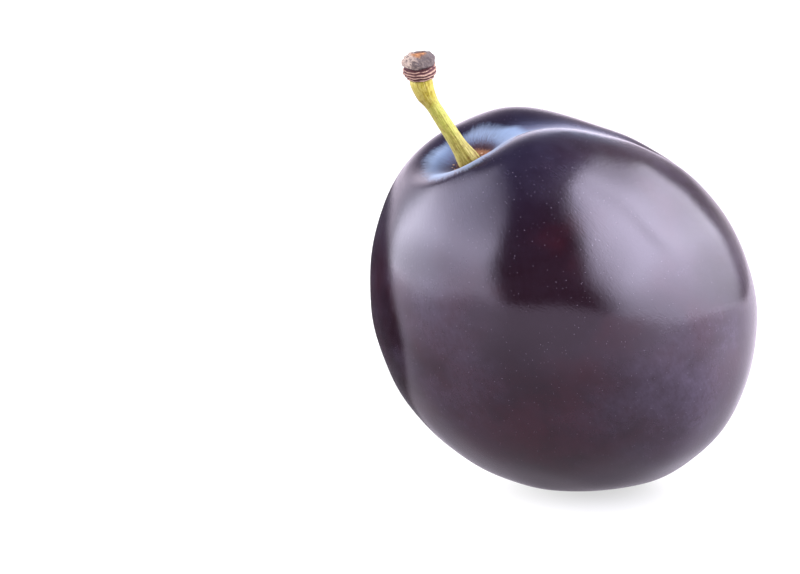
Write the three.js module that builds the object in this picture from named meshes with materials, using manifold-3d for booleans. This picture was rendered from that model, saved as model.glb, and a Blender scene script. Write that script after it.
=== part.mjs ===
// A plum lying on its side, with its stem still in it.
//
// The fruit is one grown body: a slightly long and slanted ellipsoid with a bowl where the stem
// goes in, and a crease, the suture, that runs from the bowl down one side to the blossom end.
// The green stem stands in a plain socket at the bottom of the bowl, and a brown woody knob, where
// the stem was joined to the twig, caps its free end.
//
// Each piece is shaped in the fruit's own frame: Z runs from the fruit's centre along the stem,
// X points to the side with the suture, and Y to one cheek. The stance then lays the fruit down.
// Sizes are in millimetres and angles in degrees.

import * as THREE from 'three';
import { mergeVertices } from 'three/addons/utils/BufferGeometryUtils.js';
import Module from 'manifold-3d';

const wasm = await Module();
wasm.setup();

// The body, measured from its centre.
const LONG_RADIUS = 25.45; // half of the longest diameter
const SHORT_RADIUS = 22.35; // half of the diameter across it, in the plane of the suture
const CHEEK_RADIUS = 23.4; // half of the diameter from cheek to cheek
const LONG_SLANT = 16.6; // the longest diameter leans away from the stem, on the side without suture
const SQUARENESS = 0.25; // how far the four corners of the side view are flattened

// The bowl round the stem.
const BOWL_DEPTH = 3.05;
const BOWL_REACH = 19.7; // angle from the stem axis to the bowl's lip
const BOWL_SKEW = 0.09; // the bowl is longer towards the suture by this share
const FUNNEL_DEPTH = 0.8; // the steeper pit inside the bowl, close to the stem
const FUNNEL_REACH = 8;
const SHOULDER_RISE = 0.87; // the two cheeks swell up beside the bowl
const SHOULDER_AT = 23.4;
const SHOULDER_WIDTH = 15.2;
const SHOULDER_TO_SUTURE = 0.6; // the shoulders are higher towards the suture by this share
const SHOULDER_TO_FAR_CHEEK = 0.4; // and the far one is higher than the near one

// The suture.
const SUTURE_DEPTH = 2.4; // beside the bowl
const SUTURE_FADE = 26; // over this angle it runs out to a fine crease
const CREASE_DEPTH = 0.45;
const SUTURE_WIDTH = 17.2; // half width beside the bowl
const CREASE_WIDTH = 3.5;
const WIDTH_FADE = 34;
const CREASE_END = [160, 176]; // the crease dies away just before the blossom end
const BLOSSOM_DIMPLE = 0.3;
const BLOSSOM_REACH = 9;

// How the fruit lies.
const LEAN = 31.7; // the stem leans to the left
const NOD = 16; // and towards the front
const TURN = 14; // the suture is turned a little to the back
const FLAT_DEPTH = 0.8; // how much of the underside the weight presses flat
const FOOT_FULLNESS = 0.42; // the underside is a little fuller under the fruit's weight
const FOOT_REACH = 22;
const FOOT_SHIFT = 0.31; // the fuller place lies to the left of straight down, as a slope
const SIDE_FULLNESS = 0.45; // and so is the side that the stem leans away from
const SIDE_REACH = 42;

// The stem.
const ROOT_END = 20.4; // how deep the root reaches into the fruit
const STEM_END = 35;
const STEM_FOOT = 22; // the stem flares out to its root below this
const FOOT_FLARE = 0.42;
const FLARE_REACH = 2;
const STEM_WAIST = 0.87; // radius at its thinnest
const STEM_TAPER = 0.02; // it is thicker by this for each millimetre below the waist
const WAIST_AT = 30;
const NECK_SWELL = 0.5; // and swells towards the knob
const NECK = [30.3, 34.3];
const TENON_WAIST = 0.22; // inside the knob it is thinner by this share
const TENON = [33.85, 34.1];
const NODE_SWELL = 0.1; // with a bump on one side, where a bud scale sat
const NODE_AT = 32.2;
const NODE_HALF = 0.6;
const FLUTES = 5; // shallow ribs, strongest at the foot
const FLUTE_DEPTH = 0.1;
const FLUTE_REACH = 3.5;
const HOOK_FROM = 30.5; // above this height the stem bends towards the suture
const HOOK = 0.0059;
const HOOK_POWER = 3.27;
const SOCKET_CLEARANCE = 0.12;

// The knob.
const KNOB_FROM = 34.35; // where it starts on the stem
const KNOB_MIDDLE = 34.7; // it points the way the stem would point at this height
const RECESS_DEPTH = 0.95;
const RECESS_RADIUS = 1.28;
const RINGS_FROM = 0.02; // just above the recess's mouth
const RING_PITCH = 0.55; // the rings are scars, one above the other
const RING_RADII = [1.55, 1.88, 1.88]; // from the lowest ring up
const RING_RELIEF = 0.13;
const CAP_RADIUS = 2.05;
const CAP_SHAPE = [[0.12, 0.97], [0.35, 0.96], [0.6, 0.87], [0.82, 0.72], [0.96, 0.57]]; // rise, radius
const CAP_TOP = 3.3;
const CRATER_RADIUS = 0.72; // the scar on the top
const CRATER_DEPTH = 0.14;
const KNOB_WAVE = 0.1; // how far the rings wander up and down
const KNOB_LUMPS = 0.05; // how uneven the cap is, as a share of its radius

// How finely each piece is faceted.
const FRUIT_AROUND = 76;
const FRUIT_DOWN = 48;
const STEM_AROUND = 20;
const STEM_STEPS = 26;
const KNOB_AROUND = 30;
const RING_FACETS = 4;

const { degToRad, radToDeg, clamp, smoothstep } = THREE.MathUtils;
const bell = (x, width) => Math.exp(-((x / width) ** 2));

// Turns the fruit's own frame into the way it lies, still about the fruit's centre.
const stance = new THREE.Matrix4()
  .makeRotationX(degToRad(NOD))
  .multiply(new THREE.Matrix4().makeRotationY(degToRad(-LEAN)))
  .multiply(new THREE.Matrix4().makeRotationZ(degToRad(TURN)));

// A direction about the lying fruit, in the fruit's own frame.
function ownDirection(x, y, z) {
  return new THREE.Vector3(x, y, z).normalize().applyMatrix4(stance.clone().invert());
}
const footDirection = ownDirection(-FOOT_SHIFT, 0, -1);
const sideDirection = ownDirection(1, 0, 0);

// How far the bowl and its pit sink in, at an angle from the stem axis.
function bowl(fromStem, around) {
  const reach = BOWL_REACH * (1 + BOWL_SKEW * Math.cos(around));
  const share = Math.min(1, fromStem / reach);
  return BOWL_DEPTH * (1 - share ** 2) ** 2 + FUNNEL_DEPTH * bell(fromStem, FUNNEL_REACH);
}

// How far the suture sinks in. It is there only on the X side.
function suture(direction, fromStem, fromSuture) {
  const side = smoothstep(direction.x, -0.06, 0.12);
  const width = CREASE_WIDTH + (SUTURE_WIDTH - CREASE_WIDTH) * bell(fromStem, WIDTH_FADE);
  const deep = CREASE_DEPTH + (SUTURE_DEPTH - CREASE_DEPTH) * bell(fromStem, SUTURE_FADE);
  const end = 1 - smoothstep(fromStem, ...CREASE_END);
  return side * deep * end * bell(fromSuture, width);
}

// How far the cheeks swell up beside the bowl, except in the suture between them.
function shoulder(fromStem, around, fromSuture) {
  const higher = 1 + SHOULDER_TO_SUTURE * Math.cos(around) + SHOULDER_TO_FAR_CHEEK * Math.sin(around);
  const outsideSuture = 1 - bell(fromSuture, 11);
  return SHOULDER_RISE * higher * outsideSuture * bell(fromStem - SHOULDER_AT, SHOULDER_WIDTH);
}

// The distance from the fruit's centre to its skin, in a direction of unit length.
function skinRadius(direction) {
  const { x, y, z } = direction;
  const slant = degToRad(LONG_SLANT);
  const along = z * Math.cos(slant) - x * Math.sin(slant);
  const across = x * Math.cos(slant) + z * Math.sin(slant);
  const ellipsoid =
    1 / Math.hypot(along / LONG_RADIUS, across / SHORT_RADIUS, y / CHEEK_RADIUS);
  const square = SQUARENESS * Math.cos(4 * Math.atan2(x, z)) * (1 - y * y) ** 2;

  const fromStem = radToDeg(Math.acos(clamp(z, -1, 1)));
  const fromSuture = radToDeg(Math.asin(clamp(y, -1, 1)));
  const around = Math.atan2(y, x);
  const sunk = Math.cbrt(bowl(fromStem, around) ** 3 + suture(direction, fromStem, fromSuture) ** 3);
  const dimple = BLOSSOM_DIMPLE * bell(180 - fromStem, BLOSSOM_REACH);

  const fromFoot = radToDeg(Math.acos(clamp(direction.dot(footDirection), -1, 1)));
  const fromSide = radToDeg(Math.acos(clamp(direction.dot(sideDirection), -1, 1)));
  const fullness =
    FOOT_FULLNESS * bell(fromFoot, FOOT_REACH) + SIDE_FULLNESS * bell(fromSide, SIDE_REACH);
  return ellipsoid + square + shoulder(fromStem, around, fromSuture) + fullness - sunk - dimple;
}

// A closed mesh with shared vertices, which is what joining, cutting and moving single vertices need.
function welded(geometry) {
  geometry.deleteAttribute('normal');
  geometry.deleteAttribute('uv');
  return mergeVertices(geometry);
}

function moveVertices(geometry, move) {
  const position = geometry.attributes.position;
  const vertex = new THREE.Vector3();
  for (let i = 0; i < position.count; i += 1) {
    vertex.fromBufferAttribute(position, i);
    const moved = move(vertex);
    position.setXYZ(i, moved.x, moved.y, moved.z);
  }
  return geometry;
}

function toSolid(geometry) {
  const mesh = welded(geometry);
  return new wasm.Manifold(new wasm.Mesh({
    numProp: 3,
    vertProperties: new Float32Array(mesh.attributes.position.array),
    triVerts: new Uint32Array(mesh.index.array),
  }));
}

function toGeometry(solid) {
  const mesh = solid.getMesh();
  const geometry = new THREE.BufferGeometry();
  geometry.setAttribute('position', new THREE.BufferAttribute(mesh.vertProperties, 3));
  geometry.setIndex(new THREE.BufferAttribute(mesh.triVerts, 1));
  return geometry;
}

// The fruit's skin in its own frame. The grid is closer at both ends and along the suture.
function fruitSkin() {
  const sphere = welded(new THREE.SphereGeometry(1, FRUIT_AROUND, FRUIT_DOWN));
  return moveVertices(sphere, (vertex) => {
    const evenFromStem = Math.acos(clamp(vertex.y, -1, 1));
    const evenAround = Math.atan2(vertex.x, vertex.z);
    const fromStem = evenFromStem - 0.24 * Math.sin(2 * evenFromStem);
    const around = evenAround - 0.5 * Math.sin(evenAround);
    const direction = new THREE.Vector3(
      Math.sin(fromStem) * Math.cos(around),
      Math.sin(fromStem) * Math.sin(around),
      Math.cos(fromStem),
    );
    return direction.multiplyScalar(skinRadius(direction));
  });
}

// The hole that the stem's root stands in, in the fruit's own frame.
function socket() {
  const top = STEM_FOOT + 2;
  const bottom = ROOT_END - SOCKET_CLEARANCE;
  const thickest = STEM_WAIST + FOOT_FLARE + STEM_TAPER * (WAIST_AT - ROOT_END);
  const radius = thickest + SOCKET_CLEARANCE;
  const plug = new THREE.CylinderGeometry(radius, radius, top - bottom, STEM_AROUND);
  return plug.rotateX(Math.PI / 2).translate(0, 0, (top + bottom) / 2);
}

// The fruit as it lies, standing on z = 0, and the height of its centre above that.
function makeFruit() {
  const skin = fruitSkin().applyMatrix4(stance);
  skin.computeBoundingBox();
  const centreHeight = -(skin.boundingBox.min.z + FLAT_DEPTH);
  const ground = new THREE.BoxGeometry(80, 80, 20).translate(0, 0, -10);
  const whole = toSolid(skin.translate(0, 0, centreHeight));
  const hole = toSolid(socket().applyMatrix4(stance).translate(0, 0, centreHeight));
  const fruit = whole.subtract(toSolid(ground)).subtract(hole);
  return { geometry: toGeometry(fruit), centreHeight };
}

// The middle of the stem at a height along the fruit's own Z.
function stemCentre(height) {
  const hook = HOOK * Math.max(0, height - HOOK_FROM) ** HOOK_POWER;
  return new THREE.Vector3(hook, 0, height);
}

function stemDirection(height) {
  const step = 0.01;
  return stemCentre(height + step).sub(stemCentre(height - step)).normalize();
}

// The stem's radius at a height, on the side that faces an angle from X.
function stemRadius(height, angle) {
  const aboveFoot = Math.max(0, height - STEM_FOOT);
  const flare = FOOT_FLARE * bell(aboveFoot, FLARE_REACH);
  const taper = STEM_TAPER * Math.max(0, WAIST_AT - height);
  const neck = NECK_SWELL * smoothstep(height, ...NECK);
  const node = NODE_SWELL * bell(height - NODE_AT, NODE_HALF) * Math.max(0, -Math.cos(angle));
  const ribs = 0.5 - 0.5 * Math.cos(FLUTES * angle);
  const flutes = FLUTE_DEPTH * ribs * Math.exp(-aboveFoot / FLUTE_REACH);
  const tenon = 1 - TENON_WAIST * smoothstep(height, ...TENON);
  return tenon * (STEM_WAIST + flare + taper + neck + node - flutes);
}

function makeStem() {
  const tube = welded(new THREE.CylinderGeometry(1, 1, 1, STEM_AROUND, STEM_STEPS));
  return moveVertices(tube, (vertex) => {
    const height = THREE.MathUtils.lerp(ROOT_END, STEM_END, vertex.y + 0.5);
    const along = stemDirection(height);
    const front = new THREE.Vector3(1, 0, 0).addScaledVector(along, -along.x).normalize();
    const side = new THREE.Vector3().crossVectors(along, front);
    const angle = Math.atan2(-vertex.z, vertex.x);
    const out = Math.hypot(vertex.x, vertex.z) * stemRadius(height, angle);
    return stemCentre(height)
      .addScaledVector(front, out * Math.cos(angle))
      .addScaledVector(side, out * Math.sin(angle));
  });
}

// Half of the knob's section, from the recess for the stem, over the rings and the cap, to the scar.
function knobOutline() {
  const outline = [
    new THREE.Vector2(0, RECESS_DEPTH),
    new THREE.Vector2(RECESS_RADIUS, RECESS_DEPTH),
    new THREE.Vector2(RECESS_RADIUS, 0),
  ];
  RING_RADII.forEach((middle, ring) => {
    for (let facet = 0; facet < RING_FACETS; facet += 1) {
      const turn = facet / RING_FACETS;
      const relief = RING_RELIEF * Math.sin(Math.PI * turn);
      outline.push(new THREE.Vector2(middle + relief, RINGS_FROM + RING_PITCH * (ring + turn)));
    }
  });
  const ringsTop = RINGS_FROM + RING_PITCH * RING_RADII.length;
  outline.push(new THREE.Vector2(CAP_RADIUS - RING_RELIEF, ringsTop));
  for (const [share, radius] of CAP_SHAPE) {
    const height = ringsTop + (CAP_TOP - ringsTop) * share;
    outline.push(new THREE.Vector2(CAP_RADIUS * radius, height));
  }
  outline.push(new THREE.Vector2(CRATER_RADIUS, CAP_TOP));
  outline.push(new THREE.Vector2(CRATER_RADIUS * 0.6, CAP_TOP - CRATER_DEPTH));
  outline.push(new THREE.Vector2(0, CAP_TOP - CRATER_DEPTH));
  return outline;
}

function makeKnob() {
  const lathe = welded(new THREE.LatheGeometry(knobOutline(), KNOB_AROUND).rotateX(Math.PI / 2));
  return moveVertices(lathe, (vertex) => {
    const radius = Math.hypot(vertex.x, vertex.y);
    const angle = Math.atan2(vertex.y, vertex.x);
    const outside = smoothstep(radius, RECESS_RADIUS, RING_RADII[0] + RING_RELIEF);
    const onTop = smoothstep(vertex.z, RING_PITCH * RING_RADII.length, CAP_TOP);
    const wave = KNOB_WAVE * Math.sin(2 * angle + 0.7) * outside;
    const lumps = 1 + KNOB_LUMPS * (Math.sin(3 * angle + 0.4) + onTop * Math.sin(5 * angle)) * outside;
    vertex.x *= lumps;
    vertex.y *= lumps;
    vertex.z += vertex.z > 0 ? wave * Math.min(1, vertex.z) : 0;
    return vertex;
  });
}

function named(name, geometry, color, roughness) {
  geometry.computeVertexNormals();
  const material = new THREE.MeshStandardMaterial({ color, roughness, metalness: 0 });
  const mesh = new THREE.Mesh(geometry, material);
  mesh.name = name;
  return mesh;
}

function makePlum() {
  const { geometry, centreHeight } = makeFruit();
  const fruit = named('fruit', geometry, 0x35222e, 0.3);
  const stem = named('stem', makeStem(), 0xb9ad48, 0.6);
  const knob = named('stem_knob', makeKnob(), 0x8f7470, 0.9);
  knob.position.copy(stemCentre(KNOB_FROM));
  knob.quaternion.setFromUnitVectors(new THREE.Vector3(0, 0, 1), stemDirection(KNOB_MIDDLE));

  const leaning = new THREE.Group();
  leaning.add(stem, knob);
  leaning.quaternion.setFromRotationMatrix(stance);
  leaning.position.z = centreHeight;

  const plum = new THREE.Group();
  plum.add(fruit, leaning);
  const middle = new THREE.Box3().setFromObject(plum, true).getCenter(new THREE.Vector3());
  plum.position.set(-middle.x, -middle.y, 0);
  return plum;
}

export default makePlum();
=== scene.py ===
"""A ripe dark plum that lies on its side with its stem in it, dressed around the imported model.

The skin, the stem, the woody knob and the cork ring at the stem's foot are each shaped in the
fruit's own frame: Z runs from the fruit's centre along the stem, X points to the side with the
suture, and Y to the far cheek. The stance then lays the fruit down in the part's frame. Blender
works in metres: a length of the plum is a number of millimetres times MM, and the studio's lengths
and the places in the finishes are in metres.
"""

import math

import bmesh
import bpy
import numpy as np
from bpy.props import FloatProperty, FloatVectorProperty, IntProperty, PointerProperty
from mathutils import Matrix, Vector, noise


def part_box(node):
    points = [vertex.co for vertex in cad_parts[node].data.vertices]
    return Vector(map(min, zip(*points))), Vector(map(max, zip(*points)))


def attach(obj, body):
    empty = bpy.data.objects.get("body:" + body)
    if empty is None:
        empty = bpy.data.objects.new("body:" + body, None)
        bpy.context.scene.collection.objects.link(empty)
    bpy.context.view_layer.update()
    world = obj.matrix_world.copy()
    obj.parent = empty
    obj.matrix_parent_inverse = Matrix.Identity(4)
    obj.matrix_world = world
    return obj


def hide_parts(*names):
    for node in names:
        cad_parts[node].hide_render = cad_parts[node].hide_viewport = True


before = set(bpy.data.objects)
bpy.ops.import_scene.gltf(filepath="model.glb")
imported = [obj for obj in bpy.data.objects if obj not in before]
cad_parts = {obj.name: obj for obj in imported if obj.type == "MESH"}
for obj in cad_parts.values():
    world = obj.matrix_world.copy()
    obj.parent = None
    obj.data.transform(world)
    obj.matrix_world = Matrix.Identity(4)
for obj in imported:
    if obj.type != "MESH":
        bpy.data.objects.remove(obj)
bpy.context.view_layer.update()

bl_info = {
    "name": "Plum with its stem",
    "version": (1, 0, 0),
    "blender": (4, 5, 0),
    "location": "View3D > Sidebar > Plum",
    "description": "Models a dark plum with bloom, a green stem and a woody knob",
    "category": "Add Mesh",
}

MM = 0.001
FRUIT_LOW, FRUIT_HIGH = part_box("fruit")

# How the fruit lies.
LEAN = math.radians(31.7)
NOD = math.radians(16)
TURN = math.radians(14)
STANCE = (
    Matrix.Rotation(NOD, 3, "X")
    @ Matrix.Rotation(-LEAN, 3, "Y")
    @ Matrix.Rotation(TURN, 3, "Z")
)
FLAT_DEPTH = 0.8 * MM  # how much of the underside the weight presses flat
FLAT_EDGE = 0.15 * MM  # how softly the flat runs into the round
FOOT_FULLNESS = 0.42 * MM  # the underside is a little fuller under the fruit's weight
FOOT_REACH = 22
FOOT_SHIFT = 0.31
SIDE_FULLNESS = 0.45 * MM  # and so is the side that the stem leans away from
SIDE_REACH = 42

# The body's form. Angles from the stem axis and widths across the suture are in degrees.
LONG_SLANT = math.radians(16.6)
SQUARENESS = 0.25 * MM
BOWL_REACH = 19.7
BOWL_SKEW = 0.09
FUNNEL_REACH = 8
SHOULDER_RISE = 0.87 * MM
SHOULDER_AT = 23.4
SHOULDER_WIDTH = 15.2
SHOULDER_TO_SUTURE = 0.6
SHOULDER_TO_FAR_CHEEK = 0.4
BETWEEN_SHOULDERS = 11
SUTURE_FADE = 26
CREASE_DEPTH = 0.45 * MM
SUTURE_WIDTH = 17.2
CREASE_WIDTH = 3.5
WIDTH_FADE = 34
CREASE_END = (160, 176)  # where the crease fades out, towards the blossom end
SUTURE_SIDE = (-0.06, 0.12)  # how far along X it fades in, because it is on one side only
BLOSSOM_DIMPLE = 0.3 * MM
BLOSSOM_REACH = 9
SCAR_RADIUS = 0.75 * MM  # the dry scar that the flower left in the dimple
SCAR_RELIEF = 0.12 * MM
SWELL_COUNT = 14  # slow swells, so that the lights don't lie on the skin like on a ball
SWELL_HEIGHT = 0.022 * MM
SWELL_PACE = (9, 20)  # from the longest of the swells to the shortest
GRID_TO_ENDS = 0.24  # how much closer the skin's grid is drawn at both ends
GRID_TO_SUTURE = 0.5  # and along the suture

# The stem, along the fruit's own Z.
ROOT_END = 20.4 * MM
STEM_END = 35 * MM
STEM_FOOT = 22 * MM
FOOT_FLARE = 0.42 * MM
FLARE_REACH = 2 * MM
STEM_TAPER = 0.02  # it grows this much thicker below its waist
WAIST_AT = 30 * MM
NECK_SWELL = 0.5 * MM
NECK = (30.3 * MM, 34.3 * MM)
TENON_WAIST = 0.22
TENON = (34.2 * MM, 34.6 * MM)
NODE_SWELL = 0.1 * MM
NODE_AT = 32.2 * MM
NODE_HALF = 0.6 * MM
FLUTES = 5
FLUTE_DEPTH = 0.1 * MM
FLUTE_REACH = 3.5 * MM
HOOK_FROM = 30.5 * MM
HOOK = 0.0059 * MM
HOOK_POWER = 3.27
FIBRE_HEIGHT = 0.018 * MM
FIBRES = ((13, 0.4, 1.7 * MM), (19, 2.1, 1.1 * MM), (29, 4.0, 0.7 * MM))  # count, phase and pace
FIBRE_TWIST = 2.4 * MM
STEM_CLOSING = 0.04  # the share of the rings that each rounded end takes

# The knob, along its own axis.
KNOB_FROM = 34.35 * MM
KNOB_MIDDLE = 34.7 * MM
KNOB_BASE_RADIUS = 1.5 * MM
RINGS_TOP = 1.65 * MM
RING_PITCH = 0.43 * MM
RING_WIDTH = 0.12 * MM
RING_RELIEF = 0.18 * MM
FIRST_RING = 0.3  # where the first ring is, as a share of the pitch
CAP_SAG = 0.38 * MM  # the cap hangs lower over the rings on the front
CAP_SAGS_TO = math.radians(-120)
CAP_EDGE = 0.25 * MM  # how softly the rings run into the cap
CRATER_RADIUS = 0.72 * MM
CRATER_DEPTH = 0.14 * MM
KNOB_WAVE = 0.1 * MM
KNOB_LUMPS = 0.05

# The cork ring's crumbs and shade, and the corky patch of skin beside it.
CRUMB_AWAY = (-0.1 * MM, 0.75 * MM)
CRUMB_SIZE = (0.06 * MM, 0.17 * MM)
CRUMB_HEIGHT = 0.12 * MM
PALE_CORK_AT = 35  # the ring is paler here, round the stem from the suture, in degrees
PALE_CORK_WIDTH = 45
PALE_CORK_FROM = (1.5 * MM, 1.9 * MM)  # and paler on its outer side
CORK_TO = math.radians(40)  # where the corky patch is, round the stem from the suture

# Small spots of colour in the finishes.
LOW_RED = (0.027, 0.0045, 0.008)
DARK_SCAR = (0.10, 0.035, 0.012)
PALE_SCAR = (0.30, 0.17, 0.08)
LENTICELS = (0.20, 0.17, 0.21)
OLIVE = (0.13, 0.11, 0.008)
PITS = (0.045, 0.035, 0.04)
DARK_BARK = (0.05, 0.035, 0.035)
# painted shade under the knob's cap
PAINTED_SHADE_UNDER_CAP = (0.02, 0.012, 0.015)
OLD_WOOD = (0.14, 0.045, 0.012)

# The studio. Azimuth 0 is towards the camera and grows to the right.
CAMERA_LENS = 120
CAMERA_SENSOR = 36
CAMERA_DISTANCE = 0.3333
CAMERA_ELEVATION = math.radians(7)
PICTURE_WIDTH = 800
PICTURE_HEIGHT = 574
FRUIT_PIXEL = (561.27, 303.9)  # where the fruit's centre stands in the picture
BOX_COLOUR = (0.93, 0.915, 1.05)
ROOM_COLOUR = (1.0, 0.88, 1.04)  # what the skin, but not the camera, sees of the white room
WHITE = 1.06  # the floor and the world are a little over a render's white, to stay white
FOOT_SHADE_AT = (0.004, -0.003)  # the painted shadow at the fruit's foot, as the camera sees it
FOOT_SHADE_SQUEEZE = (1.7, 0.8)
FOOT_SHADE = (0.0006, 0.032)  # where it is darkest and where it ends, before the squeeze
FLAG_AT = (-0.0432, 0.0367, 0.011)  # the flag, a black card behind the left side
FLAG_FACING = (-0.82, 0.4, 0.4)
FLAG_RADIUS = 0.034
FLAG_COLOUR = (0.02, 0.015, 0.02)
FLAG_SHADE_AT = (-0.048, 0.070)  # the middle of the black card's shadow, which is painted on the floor
FLAG_SHADE = (0.053, 0.060)  # its inner and outer radius


# ---------------------------------------------------------------- settings


class PlumFruit(bpy.types.PropertyGroup):
    long_radius: FloatProperty(
        name="Long radius", description="Half of the fruit's longest diameter",
        default=25.45 * MM, subtype="DISTANCE", unit="LENGTH",
    )
    short_radius: FloatProperty(
        name="Short radius", description="Half of the diameter across it, in the suture's plane",
        default=22.35 * MM, subtype="DISTANCE", unit="LENGTH",
    )
    cheek_radius: FloatProperty(
        name="Cheek radius", description="Half of the diameter from cheek to cheek",
        default=23.4 * MM, subtype="DISTANCE", unit="LENGTH",
    )
    bowl_depth: FloatProperty(
        name="Bowl depth", description="How deep the bowl round the stem is",
        default=3.05 * MM, subtype="DISTANCE", unit="LENGTH",
    )
    funnel_depth: FloatProperty(
        name="Funnel depth", description="The steeper pit inside the bowl, close to the stem",
        default=0.8 * MM, subtype="DISTANCE", unit="LENGTH",
    )
    suture_depth: FloatProperty(
        name="Suture depth", description="How deep the suture is beside the bowl",
        default=2.4 * MM, subtype="DISTANCE", unit="LENGTH",
    )
    segments: IntProperty(name="Segments", description="Faces round the stem axis", default=320)
    rings: IntProperty(name="Rings", description="Faces from the stem to the blossom end", default=200)
    skin_colour: FloatVectorProperty(
        name="Skin", description="Colour of the skin where the bloom is wiped off",
        default=(0.009, 0.0027, 0.005), subtype="COLOR",
    )
    red_colour: FloatVectorProperty(
        name="Red skin", description="Colour of the redder clouds in the skin",
        default=(0.019, 0.003, 0.0052), subtype="COLOR",
    )
    haze_colour: FloatVectorProperty(
        name="Haze", description="Colour of the thin wax haze on the skin",
        default=(0.056, 0.043, 0.068), subtype="COLOR",
    )
    top_haze_colour: FloatVectorProperty(
        name="Top haze", description="Colour of the bluer haze round the bowl",
        default=(0.0075, 0.008, 0.019), subtype="COLOR",
    )
    bloom_colour: FloatVectorProperty(
        name="Bloom", description="Colour of the thick bloom in the bowl",
        default=(0.085, 0.13, 0.215), subtype="COLOR",
    )
    pale_bloom_colour: FloatVectorProperty(
        name="Pale bloom", description="Colour of the thickest bloom, towards the bowl's rim",
        default=(0.215, 0.295, 0.4), subtype="COLOR",
    )
    deep_bloom_colour: FloatVectorProperty(
        name="Deep bloom", description="Colour of the bloom close to the stem",
        default=(0.05, 0.068, 0.125), subtype="COLOR",
    )
    crease_colour: FloatVectorProperty(
        name="Suture bloom", description="Colour of the bloom in the suture beyond the bowl",
        default=(0.09, 0.11, 0.19), subtype="COLOR",
    )
    rubbed_colour: FloatVectorProperty(
        name="Rubbed skin", description="Colour of the bare skin round the stem's foot",
        default=(0.022, 0.005, 0.009), subtype="COLOR",
    )
    cork_colour: FloatVectorProperty(
        name="Cork", description="Colour of the corky patch beside the stem's foot",
        default=(0.24, 0.105, 0.04), subtype="COLOR",
    )


class PlumStem(bpy.types.PropertyGroup):
    waist: FloatProperty(
        name="Waist", description="The stem's radius at its thinnest",
        default=0.87 * MM, subtype="DISTANCE", unit="LENGTH",
    )
    segments: IntProperty(name="Segments", description="Faces round the stem", default=80)
    rings: IntProperty(name="Rings", description="Faces along the stem", default=180)
    green_colour: FloatVectorProperty(
        name="Green", description="The stem's yellow green",
        default=(0.26, 0.275, 0.034), subtype="COLOR",
    )
    top_colour: FloatVectorProperty(
        name="Top", description="The yellower green under the knob",
        default=(0.27, 0.225, 0.014), subtype="COLOR",
    )
    foot_colour: FloatVectorProperty(
        name="Foot", description="The browner green near the fruit",
        default=(0.23, 0.18, 0.033), subtype="COLOR",
    )
    # the pale colour also paints light on the side away from the suture
    pale_colour: FloatVectorProperty(
        name="Pale", description="The stem's pale fibres",
        default=(0.46, 0.41, 0.11), subtype="COLOR",
    )
    brown_colour: FloatVectorProperty(
        name="Brown", description="Flecks and the scar of the bud scale",
        default=(0.13, 0.055, 0.008), subtype="COLOR",
    )


class PlumKnob(bpy.types.PropertyGroup):
    cap_radius: FloatProperty(
        name="Cap radius", description="The knob's largest radius",
        default=2.05 * MM, subtype="DISTANCE", unit="LENGTH",
    )
    cap_top: FloatProperty(
        name="Height", description="The knob's height along its axis",
        default=3.3 * MM, subtype="DISTANCE", unit="LENGTH",
    )
    segments: IntProperty(name="Segments", description="Faces round the knob", default=200)
    rings: IntProperty(name="Rings", description="Faces from its foot to its top", default=170)
    bark_colour: FloatVectorProperty(
        name="Bark", description="The cap's grey bark",
        default=(0.088, 0.068, 0.062), subtype="COLOR",
    )
    pale_colour: FloatVectorProperty(
        name="Pale bark", description="Bark bleached by the sun",
        default=(0.33, 0.26, 0.205), subtype="COLOR",
    )
    ridge_colour: FloatVectorProperty(
        name="Ridges", description="The ring scars' lips",
        default=(0.32, 0.205, 0.15), subtype="COLOR",
    )
    groove_colour: FloatVectorProperty(
        name="Grooves", description="The dark between the rings",
        default=(0.055, 0.015, 0.018), subtype="COLOR",
    )
    crater_colour: FloatVectorProperty(
        name="Crater", description="The fresh wood in the scar on top",
        default=(0.32, 0.15, 0.06), subtype="COLOR",
    )


class PlumCollar(bpy.types.PropertyGroup):
    radius: FloatProperty(
        name="Radius", description="Radius of the cork ring round the stem's foot",
        default=1.62 * MM, subtype="DISTANCE", unit="LENGTH",
    )
    thickness: FloatProperty(
        name="Thickness", description="Half of the ring's own thickness",
        default=0.26 * MM, subtype="DISTANCE", unit="LENGTH",
    )
    crumbs: IntProperty(name="Crumbs", description="Dry crumbs of cork round the ring", default=22)
    seed: IntProperty(name="Seed", description="Changes where the crumbs lie", default=5)
    cork_colour: FloatVectorProperty(
        name="Cork", description="The ring's dark cork",
        default=(0.05, 0.02, 0.012), subtype="COLOR",
    )
    crumb_colour: FloatVectorProperty(
        name="Crumbs", description="The pale crumbs",
        default=(0.42, 0.27, 0.16), subtype="COLOR",
    )


class PlumStage(bpy.types.PropertyGroup):
    right_level: FloatProperty(
        name="Right box", description="How bright the right soft box is, where 1 is a render's white",
        default=13.5,
    )
    left_level: FloatProperty(
        name="Left box", description="How bright the left soft box is, where 1 is a render's white",
        default=8.8,
    )
    # the white of the painted shadow at the fruit's foot, where it is darkest
    painted_shadow_glow: FloatProperty(
        name="Floor glow", description="How white the floor looks just in front of the fruit",
        default=0.64,
    )
    floor_colour: FloatVectorProperty(
        name="Floor", description="Colour of the floor", default=(0.12, 0.12, 0.12), subtype="COLOR",
    )


# ---------------------------------------------------------------- shapes


def bell(x, width):
    """1 at x = 0, and falling off to both sides over a width."""
    return np.exp(-((x / width) ** 2))


def smoothstep(x, low, high):
    """0 below low, 1 above high, and a smooth step between."""
    t = np.clip((x - low) / (high - low), 0, 1)
    return t * t * (3 - 2 * t)


def unit(vectors):
    """The vectors' directions, at a length of 1."""
    return vectors / np.linalg.norm(vectors, axis=-1, keepdims=True)


def laid(points):
    """Points of the fruit's own frame as they lie, about the fruit's centre."""
    return points @ np.array(STANCE).T


def own_direction(*toward):
    """A direction about the lying fruit, in the fruit's own frame."""
    return np.array(STANCE.inverted() @ Vector(toward).normalized())


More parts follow.
